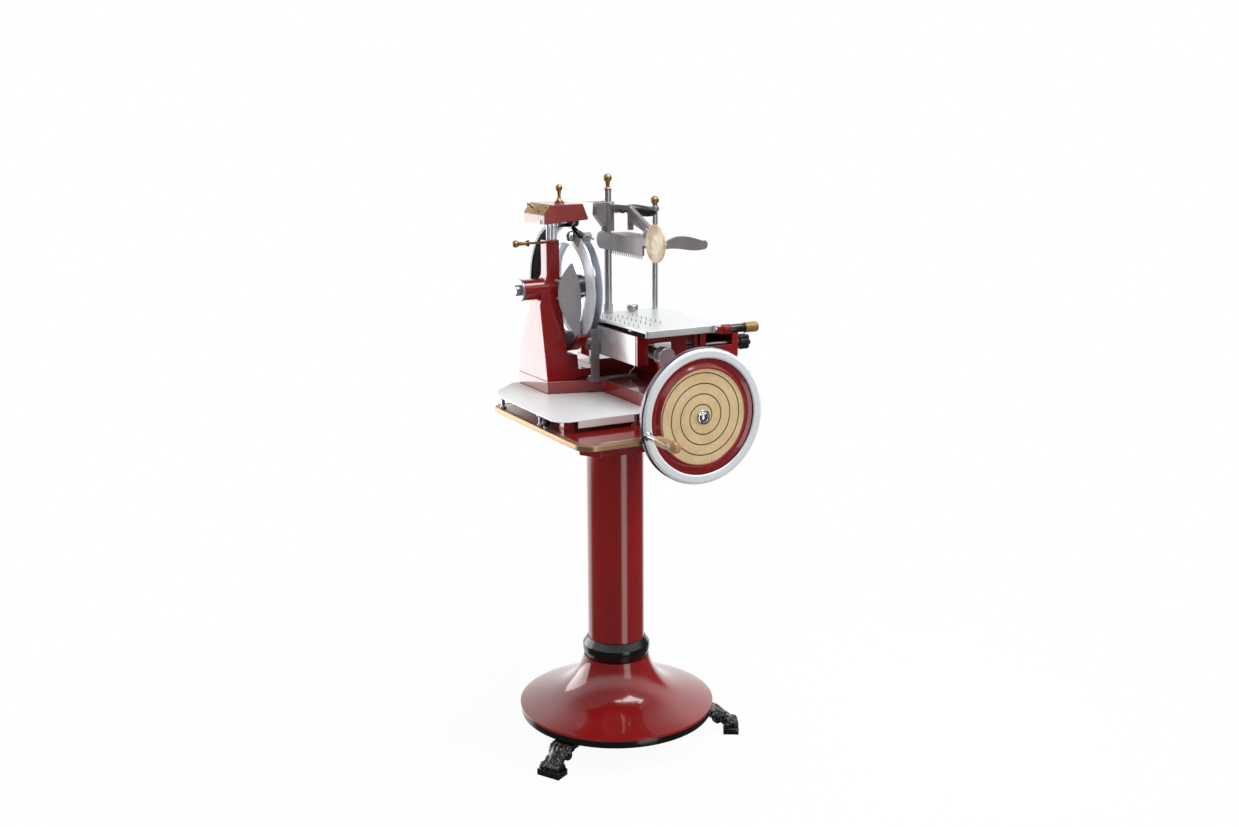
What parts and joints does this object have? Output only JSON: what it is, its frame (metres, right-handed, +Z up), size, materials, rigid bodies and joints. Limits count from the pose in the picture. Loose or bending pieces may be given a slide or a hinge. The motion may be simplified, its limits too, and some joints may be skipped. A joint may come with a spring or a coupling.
{
  "type": "hand crank meat slicer",
  "caption": "Flywheel meat slicer on a cast pedestal: round blade, sliding carriage with feed table and meat clamp, slice tray, sharpener hood and hand crank.",
  "frame": {"origin": "on the floor, under the middle of the whole machine's bounding box, flywheel at rest as pictured", "axes": "+Z up; +X along the blade shaft, from the tower to the carriage; -Y towards the flywheel and its crank"},
  "size_m": [0.6929, 0.8648, 1.422],
  "materials": {
    "pedestal_feet": "black enamel",
    "pedestal_foot_ring": "black enamel",
    "pedestal_base": "glossy red enamel",
    "pedestal_collar": "glossy black enamel",
    "pedestal_column": "glossy red enamel",
    "pedestal_head": "glossy red enamel",
    "base_plate": "glossy red enamel",
    "base_plate_trim": "brushed gold paint",
    "base_casting": "glossy red enamel",
    "slice_tray": "polished",
    "tray_feet": "polished",
    "blade_tower": "glossy red enamel",
    "hub_ring": "polished",
    "ring_guard": "glossy red enamel",
    "inner_guard": "polished",
    "guard_clamp": "dark steel",
    "guard_lock_knob": "knurled dark steel",
    "slice_deflector": "grey steel",
    "guard_bracket": "dark steel",
    "machine_screws": "polished",
    "bracket_lever": "polished",
    "sharpener_rods": "polished",
    "shaft_bearings": "machined",
    "drive_chain": "oiled",
    "guide_bar": "ground",
    "blade": "polished",
    "blade_shaft": "polished",
    "blade_sprocket": "machined",
    "sharpener_hood": "glossy red enamel",
    "hood_plate": "brushed",
    "sharpener_arms": "dark steel",
    "grinding_stone": "abrasive",
    "deburring_stone": "abrasive",
    "hood_finial": "polished",
    "tower_lock_screw": "polished",
    "flywheel_rim": "polished",
    "flywheel_disc": "glossy red enamel",
    "flywheel_face": "cream with a painted spiral",
    "flywheel_cap": "polished",
    "drive_shaft": "ground",
    "crank_pin": "polished",
    "crank_grip": "varnished",
    "cross_shaft": "ground",
    "cross_sprocket": "machined",
    "carriage_body": "glossy red enamel",
    "side_panel": "bright sheet",
    "feed_screw": "machined",
    "feed_knob": "gloss",
    "table_plate": "polished",
    "table_spikes": "polished",
    "guide_posts": "ground",
    "post_finials": "polished",
    "thumb_nut": "knurled",
    "feed_bracket": "red enamel",
    "feed_handle": "fluted",
    "clamp_sleeve": "dark steel",
    "presser_plate": "dark steel",
    "clamp_disc": "cream and brass",
    "clamp_lever": "dark steel",
    "cam_lever": "gloss"
  },
  "bodies": {
    "frame": {"pedestal_feet": "pedestal_feet", "pedestal_foot_ring": "pedestal_foot_ring", "pedestal_base": "pedestal_base", "pedestal_collar": "pedestal_collar", "pedestal_column": "pedestal_column", "pedestal_head": "pedestal_head", "base_plate": "base_plate", "base_plate_trim": "base_plate_trim", "base_casting": "base_casting", "slice_tray": "slice_tray", "tray_feet": "tray_feet", "blade_tower": "blade_tower", "hub_ring": "hub_ring", "ring_guard": "ring_guard", "inner_guard": "inner_guard", "guard_clamp": "guard_clamp", "slice_deflector": "slice_deflector", "guard_bracket": "guard_bracket", "machine_screws": "machine_screws", "sharpener_rods": "sharpener_rods", "shaft_bearings": "shaft_bearings", "drive_chain": "drive_chain", "guide_bar": "guide_bar"},
    "blade_unit": {"blade": "blade", "blade_shaft": "blade_shaft", "blade_sprocket": "blade_sprocket"},
    "sharpener": {"sharpener_hood": "sharpener_hood", "hood_plate": "hood_plate", "sharpener_arms": "sharpener_arms"},
    "grinding_wheel": {"grinding_stone": "grinding_stone"},
    "deburring_wheel": {"deburring_stone": "deburring_stone"},
    "hood_knob": {"hood_finial": "hood_finial"},
    "lock_screw": {"tower_lock_screw": "tower_lock_screw"},
    "guard_knob": {"guard_lock_knob": "guard_lock_knob"},
    "bracket_clamp": {"bracket_lever": "bracket_lever"},
    "flywheel": {"flywheel_rim": "flywheel_rim", "flywheel_disc": "flywheel_disc", "flywheel_face": "flywheel_face", "flywheel_cap": "flywheel_cap", "drive_shaft": "drive_shaft", "crank_pin": "crank_pin"},
    "grip": {"crank_grip": "crank_grip"},
    "cross_drive": {"cross_shaft": "cross_shaft", "cross_sprocket": "cross_sprocket"},
    "carriage": {"carriage_body": "carriage_body", "side_panel": "side_panel"},
    "feed_drive": {"feed_screw": "feed_screw", "feed_knob": "feed_knob"},
    "table": {"table_plate": "table_plate", "table_spikes": "table_spikes", "guide_posts": "guide_posts", "post_finials": "post_finials", "feed_bracket": "feed_bracket"},
    "table_nut": {"thumb_nut": "thumb_nut"},
    "feed_grip": {"feed_handle": "feed_handle"},
    "clamp": {"clamp_sleeve": "clamp_sleeve"},
    "presser": {"presser_plate": "presser_plate", "clamp_disc": "clamp_disc"},
    "clamp_grip": {"clamp_lever": "clamp_lever"},
    "cam": {"cam_lever": "cam_lever"}
  },
  "joints": [
    {"name": "flywheel_spin", "type": "hinge", "parent": "frame", "child": "flywheel", "pos_m": [0.06645, -0.2911, 0.87], "axis": [0, 1, 0], "continuous": true},
    {"name": "crank_grip_spin", "type": "hinge", "parent": "flywheel", "child": "grip", "pos_m": [-0.08679, -0.3911, 0.84077], "axis": [0, 1, 0], "continuous": true},
    {"name": "cross_shaft_spin", "type": "hinge", "parent": "frame", "child": "cross_drive", "pos_m": [-0.05455, 0.2609, 0.87], "axis": [1, 0, 0], "continuous": true},
    {"name": "blade_spin", "type": "hinge", "parent": "frame", "child": "blade_unit", "pos_m": [0.00645, 0.2609, 1.125], "axis": [1, 0, 0], "continuous": true},
    {"name": "carriage_slide", "type": "slide", "parent": "frame", "child": "carriage", "axis": [0, 1, 0], "range_m": [-0.12, 0.09]},
    {"name": "table_slide", "type": "slide", "parent": "carriage", "child": "table", "axis": [1, 0, 0], "range_m": [0, 0.06]},
    {"name": "feed_screw_turn", "type": "hinge", "parent": "carriage", "child": "feed_drive", "pos_m": [0.30745, -0.0491, 0.994], "axis": [1, 0, 0], "range_deg": [-5, 2165]},
    {"name": "feed_handle_turn", "type": "hinge", "parent": "table", "child": "feed_grip", "pos_m": [0.19745, -0.1311, 1.046], "axis": [1, 0, 0], "range_deg": [-90, 90]},
    {"name": "table_nut_turn", "type": "hinge", "parent": "table", "child": "table_nut", "pos_m": [0.14645, 0.2059, 1.055], "axis": [0, 0, 1], "range_deg": [0, 360]},
    {"name": "clamp_slide", "type": "slide", "parent": "table", "child": "clamp", "axis": [0, 0, 1], "range_m": [-0.125, 0.004]},
    {"name": "presser_tilt", "type": "hinge", "parent": "clamp", "child": "presser", "pos_m": [0.09745, 0.0269, 1.286], "axis": [1, 0, 0], "range_deg": [-10, 0]},
    {"name": "clamp_grip_turn", "type": "hinge", "parent": "presser", "child": "clamp_grip", "pos_m": [0.07445, -0.0931, 1.26], "axis": [1, 0, 0], "range_deg": [-90, 90]},
    {"name": "cam_lever_turn", "type": "hinge", "parent": "clamp", "child": "cam", "pos_m": [0.10145, 0.1789, 1.328], "axis": [0, 1, 0], "range_deg": [-80, 0]},
    {"name": "sharpener_slide", "type": "slide", "parent": "frame", "child": "sharpener", "axis": [0, 0, 1], "range_m": [-0.005, 0.02]},
    {"name": "grinding_wheel_spin", "type": "hinge", "parent": "sharpener", "child": "grinding_wheel", "pos_m": [-0.01255, 0.2609, 1.298], "axis": [1, 0, 0], "continuous": true},
    {"name": "deburring_wheel_spin", "type": "hinge", "parent": "sharpener", "child": "deburring_wheel", "pos_m": [0.00545, 0.2609, 1.298], "axis": [1, 0, 0], "continuous": true},
    {"name": "hood_knob_turn", "type": "hinge", "parent": "sharpener", "child": "hood_knob", "pos_m": [-0.04155, 0.2609, 1.347], "axis": [0, 0, 1], "range_deg": [0, 360]},
    {"name": "lock_screw_turn", "type": "hinge", "parent": "frame", "child": "lock_screw", "pos_m": [-0.13055, 0.2649, 1.246], "axis": [1, 0, 0], "range_deg": [0, 360]},
    {"name": "guard_knob_turn", "type": "hinge", "parent": "frame", "child": "guard_knob", "pos_m": [-0.05455, 0.21028, 1.26407], "axis": [1, 0, 0], "range_deg": [0, 360]},
    {"name": "bracket_lever_turn", "type": "hinge", "parent": "frame", "child": "bracket_clamp", "pos_m": [0.10545, 0.1439, 0.889], "axis": [0, 0, 1], "range_deg": [-60, 60]}
  ],
  "couplings": [
    {"joint": "cross_shaft_spin", "follows": "flywheel_spin", "ratio": -2},
    {"joint": "blade_spin", "follows": "flywheel_spin", "ratio": -2.6667},
    {"joint": "feed_screw_turn", "follows": "table_slide", "rad_per_m": 628.32}
  ]
}
